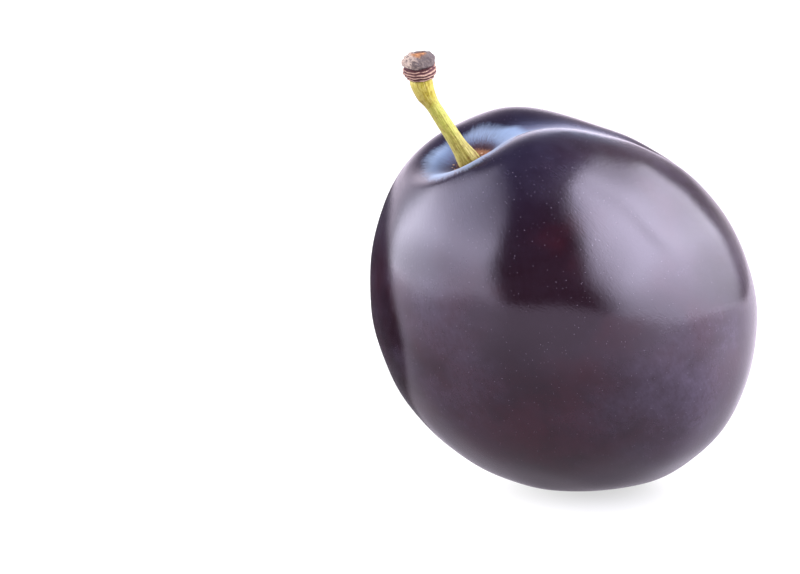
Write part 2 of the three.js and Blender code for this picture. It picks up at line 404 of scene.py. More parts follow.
def mesh_of(shape, name):
    """Makes a bmesh into a mesh, and frees it."""
    mesh = bpy.data.meshes.new(name)
    shape.to_mesh(mesh)
    shape.free()
    return mesh


def put(name, data):
    """Puts a mesh, a light or a camera in the scene."""
    thing = bpy.data.objects.new(name, data)
    bpy.context.scene.collection.objects.link(thing)
    return thing


class Surface:
    """A mesh whose vertices are moved by a formula."""

    def __init__(self, shape, name):
        self.mesh = mesh_of(shape, name)
        points = np.empty(len(self.mesh.vertices) * 3)
        self.mesh.vertices.foreach_get("co", points)
        self.points = points.reshape(-1, 3)

    def place(self, points):
        self.mesh.vertices.foreach_set("co", points.astype(np.float32).ravel())
        self.mesh.update()

    def keep(self, name, values):
        """Stores a number or a vector for each vertex, for the finish to read."""
        kind = "FLOAT_VECTOR" if values.ndim == 2 else "FLOAT"
        field = "vector" if values.ndim == 2 else "value"
        attribute = self.mesh.attributes.new(name, kind, "POINT")
        attribute.data.foreach_set(field, values.astype(np.float32).ravel())


class Ball(Surface):
    """A closed ball. Each vertex has an angle from its top and one round its axis."""

    def __init__(self, name, segments, rings):
        shape = bmesh.new()
        bmesh.ops.create_uvsphere(shape, u_segments=segments, v_segments=rings, radius=1)
        super().__init__(shape, name)
        direction = unit(self.points)
        self.from_top = np.arccos(np.clip(direction[:, 2], -1, 1))
        self.around = np.arctan2(direction[:, 1], direction[:, 0])


def piece(mesh, finish, replaced):
    """Puts a finished mesh on the body, if need be in the place of a CAD node."""
    for face in mesh.polygons:
        face.use_smooth = True
    mesh.materials.append(finish)
    new = put(mesh.name, mesh)
    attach(new, "root")
    if replaced:
        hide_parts(replaced)


class Skin:
    """The form of the fruit's skin, as angles in degrees and depths in metres."""

    def __init__(self, direction, settings):
        self.settings = settings
        self.direction = direction
        self.x, self.y, self.z = direction.T
        self.from_stem = np.degrees(np.arccos(np.clip(self.z, -1, 1)))
        self.from_suture = np.degrees(np.arcsin(np.clip(self.y, -1, 1)))
        self.around = np.arctan2(self.y, self.x)

    def bowl(self):
        """The bowl's depth."""
        reach = BOWL_REACH * (1 + BOWL_SKEW * np.cos(self.around))
        share = np.minimum(1, self.from_stem / reach)
        pit = self.settings.funnel_depth * bell(self.from_stem, FUNNEL_REACH)
        return self.settings.bowl_depth * (1 - share**2) ** 2 + pit

    def suture(self):
        """The suture's depth: wide and deep beside the bowl, and a fine crease beyond it."""
        side = smoothstep(self.x, *SUTURE_SIDE)
        width = CREASE_WIDTH + (SUTURE_WIDTH - CREASE_WIDTH) * bell(self.from_stem, WIDTH_FADE)
        deeper = self.settings.suture_depth - CREASE_DEPTH
        deep = CREASE_DEPTH + deeper * bell(self.from_stem, SUTURE_FADE)
        end = 1 - smoothstep(self.from_stem, *CREASE_END)
        return side * deep * end * bell(self.from_suture, width)

    def sunk(self):
        """The depth of both, which run into each other softly."""
        return np.cbrt(self.bowl() ** 3 + self.suture() ** 3)

    def shoulder(self):
        """The swell round the bowl."""
        to_suture = SHOULDER_TO_SUTURE * np.cos(self.around)
        to_far_cheek = SHOULDER_TO_FAR_CHEEK * np.sin(self.around)
        outside_suture = 1 - bell(self.from_suture, BETWEEN_SHOULDERS)
        band = bell(self.from_stem - SHOULDER_AT, SHOULDER_WIDTH)
        return SHOULDER_RISE * (1 + to_suture + to_far_cheek) * outside_suture * band

    def body(self):
        """The fruit without its hollows: an ellipsoid, a little squared."""
        along = self.z * math.cos(LONG_SLANT) - self.x * math.sin(LONG_SLANT)
        across = self.x * math.cos(LONG_SLANT) + self.z * math.sin(LONG_SLANT)
        size = self.settings
        ellipsoid = 1 / np.sqrt(
            (along / size.long_radius) ** 2
            + (across / size.short_radius) ** 2
            + (self.y / size.cheek_radius) ** 2
        )
        square = SQUARENESS * np.cos(4 * np.arctan2(self.x, self.z)) * (1 - self.y**2) ** 2
        return ellipsoid + square

    def angle_from(self, direction):
        """Degrees from a direction."""
        return np.degrees(np.arccos(np.clip(self.direction @ direction, -1, 1)))

    def fullness(self):
        """How much fuller the fruit is at its foot and its side."""
        foot = FOOT_FULLNESS * bell(self.angle_from(own_direction(-FOOT_SHIFT, 0, -1)), FOOT_REACH)
        return foot + SIDE_FULLNESS * bell(self.angle_from(own_direction(1, 0, 0)), SIDE_REACH)

    def blossom_end(self):
        """The depth of the dimple opposite the stem, less its scar's low rim."""
        dimple = BLOSSOM_DIMPLE * bell(180 - self.from_stem, BLOSSOM_REACH)
        from_axis = np.hypot(self.x, self.y) * self.settings.long_radius
        behind = self.z < 0
        rim = SCAR_RELIEF * bell(from_axis - SCAR_RADIUS, 0.4 * SCAR_RADIUS)
        return dimple - behind * rim

    def swells(self):
        """Slow waves over the whole skin."""
        draw = np.random.default_rng(11)
        total = np.zeros(len(self.direction))
        for _ in range(SWELL_COUNT):
            wave = draw.normal(size=3)
            wave *= draw.uniform(*SWELL_PACE) / np.linalg.norm(wave)
            total += np.sin(self.direction @ wave + draw.uniform(0, 2 * math.pi))
        return SWELL_HEIGHT * total

    def radius(self):
        """How far the skin is from the fruit's centre."""
        form = self.body() + self.shoulder() + self.fullness()
        return form - self.sunk() - self.blossom_end()


def flattened(points):
    """Presses what lies below the floor flat, with a soft edge, and sets the lowest point on it."""
    height = points[:, 2]
    pressed = (height + np.hypot(height, FLAT_EDGE)) / 2
    placed = points.copy()
    placed[:, 2] = pressed - pressed.min()
    return placed


def skin_over(from_top, around, settings):
    """The skin over a ball's grid, which is drawn closer at both ends and along the suture."""
    from_stem = from_top - GRID_TO_ENDS * np.sin(2 * from_top)
    around = around - GRID_TO_SUTURE * np.sin(around)
    out = np.sin(from_stem)
    direction = np.stack([out * np.cos(around), out * np.sin(around), np.cos(from_stem)], axis=1)
    return Skin(direction, settings)


def fruit_centre():
    """Where the fruit's centre stands in the part's frame."""
    from_top, around = np.meshgrid(np.linspace(0, math.pi, 120), np.linspace(-math.pi, math.pi, 180))
    skin = skin_over(from_top.ravel(), around.ravel(), bpy.context.scene.plum_fruit)
    lying = laid(skin.direction * skin.radius()[:, None])
    middle = (lying.min(0) + lying.max(0)) / 2
    stands_at = (np.array(FRUIT_LOW) + np.array(FRUIT_HIGH)) / 2 - middle
    return np.array([stands_at[0], stands_at[1], -(lying[:, 2].min() + FLAT_DEPTH)])


def in_place(points):
    """Points of the fruit's own frame, in the part's frame."""
    return laid(points) + fruit_centre()


def make_skin(settings):
    ball = Ball("plum_skin", settings.segments, settings.rings)
    skin = skin_over(ball.from_top, ball.around, settings)
    ball.place(flattened(in_place(skin.direction * (skin.radius() + skin.swells())[:, None])))
    ball.keep("from_stem", skin.from_stem)
    ball.keep("from_suture", skin.from_suture)
    ball.keep("from_axis", np.hypot(skin.x, skin.y) * skin.radius() / MM)
    turn = np.stack([np.cos(skin.around), np.sin(skin.around)], axis=1)
    ball.keep("grain", np.column_stack([turn, np.radians(skin.from_stem)]))
    piece(ball.mesh, skin_finish(settings), "fruit")


def stem_centre(height):
    """The middle of the stem, which hooks over towards the suture at its end."""
    hook = HOOK * (np.maximum(0, height - HOOK_FROM) / MM) ** HOOK_POWER
    return np.stack([hook, np.zeros_like(hook), height], axis=-1)


def stem_direction(height):
    """The way that the stem runs."""
    step = 0.01 * MM
    return unit(stem_centre(height + step) - stem_centre(height - step))


def stem_radius(height, angle, waist):
    """The stem is flared and fluted at its foot, with a swollen neck and a bud's node above."""
    above_foot = np.maximum(0, height - STEM_FOOT)
    flare = FOOT_FLARE * bell(above_foot, FLARE_REACH)
    taper = STEM_TAPER * np.maximum(0, WAIST_AT - height)
    neck = NECK_SWELL * smoothstep(height, *NECK)
    bump = NODE_SWELL * bell(height - NODE_AT, NODE_HALF) * np.maximum(0, -np.cos(angle))
    flutes = FLUTE_DEPTH * (0.5 - 0.5 * np.cos(FLUTES * angle)) * np.exp(-above_foot / FLUTE_REACH)
    tenon = 1 - TENON_WAIST * smoothstep(height, *TENON)
    return tenon * (waist + flare + taper + neck + bump - flutes)


def fibres(height, angle):
    """Fine ribs along the stem, which wander and fade in and out."""
    twist = 0.5 * np.sin(height / FIBRE_TWIST)
    total = np.zeros_like(angle)
    for count, phase, pace in FIBRES:
        fading = 0.6 + 0.4 * np.sin(height / pace + phase)
        total += fading * np.sin(count * angle + twist + phase)
    return FIBRE_HEIGHT * total


def make_stem(settings):
    tube = Ball("plum_stem", settings.segments, settings.rings)
    along = 1 - tube.from_top / math.pi
    from_end = np.minimum(along, 1 - along) / STEM_CLOSING
    along = np.clip((along - STEM_CLOSING) / (1 - 2 * STEM_CLOSING), 0, 1)
    height = ROOT_END + (STEM_END - ROOT_END) * along
    closing = np.sin(np.minimum(1, from_end) * math.pi / 2)
    angle = tube.around
    out = closing * (stem_radius(height, angle, settings.waist) + fibres(height, angle))
    direction = stem_direction(height)
    front = unit(np.array([1, 0, 0]) - direction * direction[:, :1])
    side = np.cross(direction, front)
    across = front * (out * np.cos(angle))[:, None] + side * (out * np.sin(angle))[:, None]
    tube.place(in_place(stem_centre(height) + across))
    tube.keep("height", (height - STEM_FOOT) / MM)
    tube.keep("turn", np.stack([np.cos(angle), np.sin(angle), 0 * angle], axis=1))
    piece(tube.mesh, stem_finish(settings), "stem")


def knob_outline(settings):
    """Points of half of the knob's section, from the middle of its foot to the middle of the scar."""
    top = settings.cap_top
    wide = settings.cap_radius
    rise = top - RINGS_TOP
    return np.array([
        (0, 0.35 * MM),
        (KNOB_BASE_RADIUS * 0.8, 0.3 * MM),
        (KNOB_BASE_RADIUS * 0.95, 0.06 * MM),
        (KNOB_BASE_RADIUS, 0),
        (KNOB_BASE_RADIUS * 1.08, 0.12 * MM),
        (wide * 0.89, RINGS_TOP * 0.27),
        (wide, RINGS_TOP * 0.5),
        (wide * 0.98, RINGS_TOP * 0.8),
        (wide * 0.94, RINGS_TOP),
        (wide * 0.97, RINGS_TOP + rise * 0.12),
        (wide * 0.96, RINGS_TOP + rise * 0.35),
        (wide * 0.87, RINGS_TOP + rise * 0.6),
        (wide * 0.72, RINGS_TOP + rise * 0.82),
        (wide * 0.55, top),
        (CRATER_RADIUS, top - 0.02 * MM),
        (CRATER_RADIUS * 0.72, top - CRATER_DEPTH),
        (0, top - CRATER_DEPTH),
    ])


def along_outline(outline, share):
    """Points at shares of an outline's length."""
    steps = np.linalg.norm(np.diff(outline, axis=0), axis=1)
    reached = np.concatenate([[0], np.cumsum(steps)]) / steps.sum()
    return np.stack([np.interp(share, reached, column) for column in outline.T], axis=1)


def rough(points, size, seed):
    """Seeded noise at each point, about 0, with lumps of that size."""
    shift = Vector((seed * 7.3, seed * 3.1, seed * 5.7))
    return np.array([noise.noise(Vector(p) / size + shift) for p in points])


def make_knob(settings):
    lump = Ball("plum_knob", settings.segments, settings.rings)
    out, up = along_outline(knob_outline(settings), 1 - lump.from_top / math.pi).T
    angle = lump.around
    ring_axis = np.stack([np.cos(angle) * out, np.sin(angle) * out, up], axis=1)

    on_side = smoothstep(out, 0.85 * KNOB_BASE_RADIUS, 1.02 * KNOB_BASE_RADIUS)
    to_front = 0.5 + 0.5 * np.cos(angle - CAP_SAGS_TO)
    sag = CAP_SAG * (to_front**2 - 0.4) + 0.14 * MM * rough(ring_axis * (1, 1, 0.1), 1.3 * MM, 8)
    level = up + sag * smoothstep(up, 0, RINGS_TOP)
    on_cap = smoothstep(level, RINGS_TOP, RINGS_TOP + CAP_EDGE)
    in_rings = on_side * (1 - on_cap)
    wander = 0.22 * MM * rough(ring_axis * (1, 1, 0.5), 0.9 * MM, 1)
    ring_place = (level + wander) / RING_PITCH - FIRST_RING
    from_ring = (ring_place - np.round(ring_place)) * RING_PITCH
    torn = 0.8 + 0.6 * rough(ring_axis, 0.5 * MM, 2)
    lips = bell(from_ring, RING_WIDTH) * torn
    # A band just under the cap, deeper on one side: it deepens the groove, and the finish paints shade
    # in it.
    under_cap = bell(level - RINGS_TOP, 0.2 * MM)
    deeper = under_cap * (0.5 - 0.5 * np.sin(angle + 0.3))
    ring_relief = RING_RELIEF * in_rings * (lips - 0.7 - 1.2 * deeper)

    coarse = rough(ring_axis, 1.1 * MM, 3)
    fine = rough(ring_axis, 0.42 * MM, 4)
    grit = rough(ring_axis, 0.17 * MM, 5)
    bark = on_cap * on_side * MM * (0.16 * coarse + 0.12 * fine + 0.05 * grit)
    bark += in_rings * MM * (0.04 * fine + 0.03 * grit)
    lumps = 1 + KNOB_LUMPS * on_side * (0.7 * np.sin(3 * angle + 0.4) + on_cap * np.sin(5 * angle))
    out = out * lumps + ring_relief + bark
    up = up + KNOB_WAVE * np.sin(2 * angle + 0.7) * on_side * np.minimum(1, up / MM)
    up = up + on_cap * MM * (0.05 * coarse + 0.1 * fine)

    axis = Vector(stem_direction(np.array(KNOB_MIDDLE)))
    turned = np.array(Vector((0, 0, 1)).rotation_difference(axis).to_matrix())
    own = np.stack([np.cos(angle) * out, np.sin(angle) * out, up], axis=1)
    points = own @ turned.T + stem_centre(np.array(KNOB_FROM))
    lump.place(in_place(points))
    # Under the cap the lips lose their paleness, and the band is kept for the painted shade there.
    lump.keep("lips", in_rings * np.clip(lips - 0.9 * deeper, 0, 1))
    lump.keep("under_cap", deeper)
    lump.keep("cap", on_cap)
    lump.keep("own", own / MM)
    lump.keep("hollow", np.clip(0.5 - 1.6 * fine - 1.2 * grit, 0, 1))
    piece(lump.mesh, knob_finish(settings), "stem_knob")


# ---------------------------------------------------------------- finishes


class Wire:
    """An output socket that can be calculated with: each operator adds its Math node."""

    def __init__(self, nodes, socket):
        self.nodes = nodes
        self.socket = socket

    def maths(self, operation, *values):
        inputs = dict(enumerate(values))
        return self.nodes.add("ShaderNodeMath", {"operation": operation}, inputs)

    def __add__(self, other):
        return self.maths("ADD", self, other)

    __radd__ = __add__

    def __sub__(self, other):
        return self.maths("SUBTRACT", self, other)

    def __rsub__(self, other):
        return self.maths("SUBTRACT", other, self)

    def __mul__(self, other):
        return self.maths("MULTIPLY", self, other)

    __rmul__ = __mul__

    def __truediv__(self, other):
        return self.maths("DIVIDE", self, other)

    def __pow__(self, other):
        return self.maths("POWER", self, other)

    def __rpow__(self, other):
        return self.maths("POWER", other, self)

    def __neg__(self):
        return self * -1

    def __abs__(self):
        return self.maths("ABSOLUTE", self)

    def bell(self, width):
        """1 where this is 0, and falling off to both sides over a width."""
        share = self / width
        return math.e ** -(share * share)

    def step(self, low, high):
        """0 where this is below low, 1 above high, and a smooth step between."""
        settings = {"interpolation_type": "SMOOTHSTEP"}
        inputs = {"Value": self, "From Min": low, "From Max": high}
        return self.nodes.add("ShaderNodeMapRange", settings, inputs)


class Nodes:
    """A node tree under construction."""

    def __init__(self, tree):
        self.tree = tree

    def feed(self, socket, value):
        """Links a wire to a socket, or sets the socket's own value. Every colour is opaque."""
        if isinstance(value, Wire):
            self.tree.links.new(value.socket, socket)
        elif socket.type == "RGBA":
            socket.default_value = (*value, 1.0)
        else:
            socket.default_value = value

    def add(self, kind, settings, inputs, output=0):
        """Adds a node: first its settings, then the values or links of its sockets."""
        node = self.tree.nodes.new(kind)
        for name, value in settings.items():
            setattr(node, name, value)
        for key, value in inputs.items():
            self.feed(node.inputs[key], value)
        return Wire(self, node.outputs[output])

    def attribute(self, name, output="Fac"):
        """What a piece keeps for its finish."""
        return self.add("ShaderNodeAttribute", {"attribute_name": name}, {}, output)

    def place(self):
        """The place on the piece, in metres."""
        return self.add("ShaderNodeTexCoord", {}, {}, "Object")

    def split(self, vector):
        """The three parts of a vector."""
        first = self.add("ShaderNodeSeparateXYZ", {}, {0: vector})
        outputs = first.socket.node.outputs
        return first, Wire(self, outputs[1]), Wire(self, outputs[2])

    def stretched(self, vector, scale):
        """A vector with each of its parts scaled."""
        return self.add("ShaderNodeVectorMath", {"operation": "MULTIPLY"}, {0: vector, 1: scale})

    def cloud(self, vector, scale, detail, roughness):
        """Noise about 0.5."""
        inputs = {"Vector": vector, "Scale": scale, "Detail": detail, "Roughness": roughness}
        return self.add("ShaderNodeTexNoise", {}, inputs)

    def mixed(self, factor, first, second):
        """The first colour, and where the factor is 1 the second."""
        inputs = {0: factor, 6: first, 7: second}
        return self.add("ShaderNodeMix", {"data_type": "RGBA"}, inputs, 2)

    def grey(self, level):
        return self.add("ShaderNodeCombineColor", {}, {0: level, 1: level, 2: level})

    def bump(self, height, distance):
        return self.add("ShaderNodeBump", {}, {"Height": height, "Distance": distance})

    def seen(self):
        """1 for the camera, and 0 for reflections and for the light that falls on things."""
        return self.add("ShaderNodeLightPath", {}, {}, "Is Camera Ray")


def distance(*parts):
    """How far a place is from another, from how far it is each way."""
    return sum(part * part for part in parts) ** 0.5


class Finish(Nodes):
    """A material with one Principled shader."""

    def __init__(self, name, **constants):
        self.material = bpy.data.materials.new(name)
        self.material.use_nodes = True
        super().__init__(self.material.node_tree)
        self.shader = self.tree.nodes["Principled BSDF"]
        for socket, value in constants.items():
            self.set(socket.replace("_", " "), value)

    def set(self, socket, value):
        self.feed(self.shader.inputs[socket], value)


def skin_finish(settings):
    tint = (0.9, 0.85, 1.0)
    finish = Finish("skin", IOR=1.52, Specular_Tint=tint, Sheen_Weight=0.15, Sheen_Roughness=0.25)
    place = finish.place()
    from_stem = finish.attribute("from_stem")
    from_suture = finish.attribute("from_suture")
    from_axis = finish.attribute("from_axis")
    grain = finish.attribute("grain", "Vector")
    to_suture, to_far_cheek, _ = finish.split(grain)
    side_x, _, side_z = finish.split(place)

    # Fine streaks that run from the stem to the blossom end, and an even finer grain.
    streaks = finish.cloud(finish.stretched(grain, (62, 62, 20)), 1, 2, 0.6)
    long_streaks = finish.cloud(finish.stretched(grain, (24, 24, 5)), 1, 3, 0.6)
    fine = finish.cloud(finish.stretched(grain, (120, 120, 60)), 1, 2, 0.6)

    # The skin itself: near black, with redder clouds and a red patch low on the near cheek.
    clouds = finish.cloud(place, 95, 3, 0.55)
    blotches = finish.cloud(place, 260, 3, 0.6)
    low_red = (side_x + 0.004).bell(0.009) * (side_z - 0.0085).bell(0.006)
    red = clouds.step(0.46, 0.68) * (0.5 + 0.5 * blotches) + low_red
    skin = finish.mixed(red, settings.skin_colour, settings.red_colour)
    skin = finish.mixed(low_red * blotches.step(0.35, 0.6), skin, LOW_RED)

    # A thin haze of wax, thinner in the middle of the near cheek, thicker round the bowl and low on
    # the right, and broken up by dust.
    haze_clouds = finish.cloud(finish.stretched(place, (1, 1, 1.3)), 110, 4, 0.6)
    off_middle = (side_x * side_x * 2600 + (side_z - 0.028) * (side_z - 0.028) * 4200).step(0.1, 1.0)
    top = 1 - from_stem.step(16, 62)
    low_right = side_x.step(0.0, 0.02) * (1 - side_z.step(0.015, 0.032))
    dust = finish.cloud(place, 850, 3, 0.7)
    thin = haze_clouds.step(0.34, 0.7) * (0.2 + 0.9 * off_middle) * (0.8 + 0.9 * (streaks - 0.5))
    thin = (thin + 0.75 * low_right) * (1 + 1.6 * (dust - 0.5)) * (1 - 0.8 * low_red)
    skin = finish.mixed(thin * 0.4, skin, settings.haze_colour)
    skin = finish.mixed(top * (0.45 + 0.5 * haze_clouds), skin, settings.top_haze_colour)

    # The thick bloom in the bowl, to a ragged edge. It reaches further out on the near lip and at
    # the suture, and less far on the far side and opposite the suture.
    ragged = (long_streaks - 0.5) * 2 + (streaks - 0.5) * 1.2 + (blotches - 0.5) * 3
    edge = 14.2 - 1.9 * (-to_suture).step(0.65, 0.95) - 1.9 * to_far_cheek
    edge = edge + 2 * to_suture.step(0.2, 0.6) + 3.5 * to_suture.step(0.9, 1.0)
    on_lip = (-to_suture).step(0.4, 0.9) + 1.2 * to_suture.step(-0.4, -0.1)
    edge = edge + (-to_far_cheek).step(0.3, 0.6) * on_lip
    thick = 1 - (from_stem - edge - ragged).step(-2.2, 2.0)
    pale = from_stem.step(6.5, 12)
    streaked = pale * (0.85 + 0.4 * (streaks - 0.5))
    bloom = finish.mixed(streaked, settings.deep_bloom_colour, settings.bloom_colour)
    palest = 0.35 * (-to_suture).step(-0.2, 0.8) + 0.5 * from_stem.step(9.5, 12.5)
    bloom = finish.mixed(palest * pale, bloom, settings.pale_bloom_colour)
    cover = thick * (0.84 + 0.4 * (streaks - 0.5) + 0.4 * (blotches - 0.5))

    # Bloom lies along the suture too, and broken up on the crest of its near lip, where the pale
    # colour is also a painted highlight along the crest.
    crease = from_suture.bell(4.5) * to_suture.step(0, 0.1)
    crease_bloom = crease * (1 - from_stem.step(18, 75)) * (0.35 + 0.65 * blotches)
    skin = finish.mixed(crease_bloom * 0.8, skin, settings.crease_colour)
    crest_bloom_and_highlight = (from_suture + 7.5).bell(6) * to_suture.step(0, 0.2) * (1 - from_stem.step(28, 58))
    crest_bloom_and_highlight = crest_bloom_and_highlight * (0.35 + 0.65 * (blotches * 0.6 + streaks * 0.4).step(0.4, 0.6))
    skin = finish.mixed(crest_bloom_and_highlight * 0.6, skin, settings.pale_bloom_colour)
    skin = finish.mixed(cover, skin, bloom)

    # Bare maroon skin round the stem's foot, wider on one side. The bloom frays out round it in
    # fine streaks, and a patch of cork lies in its wide side.
    cork_x = math.cos(CORK_TO)
    cork_y = math.sin(CORK_TO)
    to_cork = (cork_x * to_suture + cork_y * to_far_cheek).step(0.2, 1)
    wide = 2.0 + 1.5 * to_cork + (fine - 0.5) * 2.6 + (streaks - 0.5) * 2
    near_top = 1 - from_stem.step(40, 60)
    bare = (1 - (from_axis - wide).step(-0.25, 0.6)) * near_top
    skin = finish.mixed(bare, skin, settings.rubbed_colour)
    frayed = (1 - (from_axis - wide).step(0.2, 2.6)) * near_top
    frayed = frayed * (1 - (streaks * 0.6 + fine * 0.4).step(0.44, 0.55))
    skin = finish.mixed(frayed * 0.85, skin, settings.rubbed_colour)
    corky = (1 - (from_axis - 2.8 + (fine - 0.5) * 2).step(-0.1, 0.25)) * to_cork * near_top
    skin = finish.mixed(corky * (0.35 + blotches), skin, settings.cork_colour)

    # The dry scar at the blossom end.
    scar = (1 - from_axis.step(0.6, 1.1)) * from_stem.step(150, 170)
    skin = finish.mixed(scar, skin, finish.mixed(blotches, DARK_SCAR, PALE_SCAR))

    # Lenticels: tiny pale dots.
    cells = {"Vector": place, "Scale": 2300.0}
    dots = finish.add("ShaderNodeTexVoronoi", {}, cells, "Distance")
    chosen = finish.add("ShaderNodeTexVoronoi", {}, cells, "Color")
    picked, size, _ = finish.split(chosen)
    speck = (1 - (dots / (0.07 + 0.09 * size)).step(0.5, 1.0)) * picked.step(0.3, 0.5)
    skin = finish.mixed(speck * 0.5, skin, LENTICELS)

    finish.set("Base Color", skin)
    waxy = cover + crease_bloom * 0.6
    dull = 0.17 + 0.08 * (streaks - 0.5) + 0.09 * (haze_clouds - 0.5) + 0.12 * (fine - 0.5)
    finish.set("Roughness", dull + 0.5 * waxy + 0.4 * bare + 0.4 * scar)
    relief = streaks * 0.35 + long_streaks * 0.2 + fine * 0.6
    finish.set("Normal", finish.bump(relief, 0.00002))
    return finish.material


def stem_finish(settings):
    finish = Finish("green_stem", IOR=1.32, Sheen_Weight=0.12, Sheen_Roughness=0.4)
    place = finish.place()
    height = finish.attribute("height")
    turn = finish.attribute("turn", "Vector")
    side, _, _ = finish.split(turn)

    # The fibres are noise that is drawn out along the stem.
    lift = finish.add("ShaderNodeCombineXYZ", {}, {2: height * 0.35})
    around = finish.stretched(turn, (3.2, 3.2, 1))
    path = finish.add("ShaderNodeVectorMath", {"operation": "ADD"}, {0: around, 1: lift})
    fibre = finish.cloud(path, 2.6, 3, 0.6)
    patches = finish.cloud(place, 700, 3, 0.6)
    flecks = finish.cloud(place, 2600, 2, 0.6)

    green = finish.mixed(height.step(8.3, 10.2), settings.green_colour, settings.top_colour)
    green = finish.mixed((1 - height.step(2.5, 6.5)) * 0.8, green, settings.foot_colour)
    green = finish.mixed(fibre.step(0.42, 0.7) * 0.75, green, settings.pale_colour)
    # Painted light: the side away from the suture is paler.
    green = finish.mixed((-side).step(0.2, 1.0) * 0.35, green, settings.pale_colour)
    olive = (1 - fibre.step(0.25, 0.5)) * patches.step(0.4, 0.7)
    green = finish.mixed(olive * 0.5, green, OLIVE)

    # Brown at the node and the foot, and in flecks.
    at_node = (height - 10.3).bell(0.9) * (1 - side.step(-0.6, 0.6))
    at_foot = 1 - height.step(0.1, 2.0)
    brown = at_node * patches.step(0.35, 0.6) * 0.4 + at_foot * (1 - fibre.step(0.3, 0.62)) * 0.85
    brown = brown + flecks.step(0.5, 0.68) * 0.4
    green = finish.mixed(brown, green, settings.brown_colour)
    finish.set("Base Color", green)
    finish.set("Roughness", 0.42 + 0.2 * fibre)
    finish.set("Normal", finish.bump(fibre + 0.4 * flecks, 0.00003))
    return finish.material


def knob_finish(settings):
    finish = Finish("woody_knob", IOR=1.4)
    place = finish.place()
    lips = finish.attribute("lips")
    cap = finish.attribute("cap")
    hollow = finish.attribute("hollow")
    own = finish.attribute("own", "Vector")
    x, y, z = finish.split(own)
    patches = finish.cloud(place, 900, 3, 0.65)
    grit = finish.cloud(place, 3800, 3, 0.7)

    on_lip = (lips * 1.15 + (grit - 0.5) * 0.5).step(0.2, 0.75)
    rings = finish.mixed(on_lip, settings.groove_colour, settings.ridge_colour)
    # Paler bark in patches, and more of it towards the knob's −x side.
    paler_bark = (patches * 1.7 - 0.3 - 0.36 * x + 0.05 * y).step(0.3, 1.1)
    bark = finish.mixed(paler_bark, settings.bark_colour, settings.pale_colour)
    sand = finish.cloud(place, 6500, 2, 0.7)
    pits = (hollow * 0.5 + (grit - 0.5) + (sand - 0.5) * 1.4).step(0.24, 0.56)
    bark = finish.mixed(pits * 0.7, bark, PITS)
    bark = finish.mixed((1 - patches.step(0.36, 0.48)) * 0.45, bark, DARK_BARK)
    # Painted shade under the cap's overhang, darker on one side.
    bark = finish.mixed(finish.attribute("under_cap").step(0.1, 0.7), bark, PAINTED_SHADE_UNDER_CAP)

    # The scar on top, where some of the fresh wood has darkened.
    from_middle = distance(x + 0.1, y + 0.45)
    crater = (1 - (from_middle + (grit - 0.5) * 0.4).step(0.7, 1.1)) * z.step(2.0, 2.5)
    wood = finish.mixed(patches.step(0.42, 0.6), OLD_WOOD, settings.crater_colour)
    bark = finish.mixed(crater, bark, wood)
    finish.set("Base Color", finish.mixed(cap, rings, bark))
    finish.set("Roughness", 0.75 + 0.2 * grit)
    finish.set("Normal", finish.bump(grit + 0.5 * patches, 0.00004))
    return finish.material


def collar_finish(settings):
    finish = Finish("stem_collar", IOR=1.4)
    place = finish.place()
    patches = finish.cloud(place, 1500, 3, 0.65)
    grit = finish.cloud(place, 5000, 2, 0.7)
    pale = finish.attribute("pale")
    pale = ((patches - 0.5) * 1.5 + pale).step(0.2, 0.8)
    finish.set("Base Color", finish.mixed(pale, settings.cork_colour, settings.crumb_colour))
    finish.set("Roughness", 0.8 + 0.15 * grit)
    finish.set("Normal", finish.bump(grit, 0.00004))
    return finish.material


# ---------------------------------------------------------------- the cork ring


def make_collar(settings):
    """A torn ring of cork where the stem leaves the flesh, with crumbs beside it."""
    shape = bmesh.new()
    section = bmesh.ops.create_circle(shape, radius=settings.thickness, segments=14)["verts"]
    stand = Matrix.Translation((settings.radius, 0, 0)) @ Matrix.Rotation(math.pi / 2, 4, "X")
    bmesh.ops.transform(shape, verts=section, matrix=stand)
    bmesh.ops.spin(
        shape, geom=shape.verts[:] + shape.edges[:], axis=(0, 0, 1), cent=(0, 0, 0),
        angle=2 * math.pi, steps=96, use_merge=True,
    )
    ring_count = len(shape.verts)
    draw = np.random.default_rng(settings.seed)
    for _ in range(settings.crumbs):
        turn = draw.uniform(0, 2 * math.pi)
        away = settings.radius + draw.uniform(*CRUMB_AWAY)
        size = draw.uniform(*CRUMB_SIZE)
        crumb = bmesh.ops.create_icosphere(shape, subdivisions=2, radius=size)["verts"]
        lying = (
            Matrix.Translation((away * math.cos(turn), away * math.sin(turn), CRUMB_HEIGHT))
            @ Matrix.Rotation(draw.uniform(0, math.pi), 4, "Z")
            @ Matrix.Diagonal((1.5, draw.uniform(0.7, 1.1), 0.55, 1))
        )
        bmesh.ops.transform(shape, verts=crumb, matrix=lying)
    bmesh.ops.recalc_face_normals(shape, faces=shape.faces[:])
    collar = Surface(shape, "stem_collar")

    points = collar.points
    lumps = rough(points, 0.5 * MM, 6)
    grit = rough(points, 0.2 * MM, 7)
    away = np.hypot(points[:, 0], points[:, 1])
    toward = unit(points * (1, 1, 0))
    middle = toward * settings.radius
    in_ring = np.arange(len(points)) < ring_count
    swollen = 1 + in_ring * (0.9 * lumps + 0.35 * grit)
    points = np.where(in_ring[:, None], middle + (points - middle) * swollen[:, None], points)
    points = points + 0.04 * MM * grit[:, None]
    direction = unit(np.column_stack([points[:, 0], points[:, 1], np.full(len(points), STEM_FOOT)]))
    skin = Skin(direction, bpy.context.scene.plum_fruit)
    points[:, 2] += skin.radius() * direction[:, 2]
    collar.place(in_place(points))
    turn = np.degrees(np.arctan2(toward[:, 1], toward[:, 0]))
    tan = 0.75 * bell(turn - PALE_CORK_AT, PALE_CORK_WIDTH) * smoothstep(away, *PALE_CORK_FROM)
    collar.keep("pale", np.where(in_ring, tan, 0.8))
    piece(collar.mesh, collar_finish(settings), None)


# ---------------------------------------------------------------- the studio


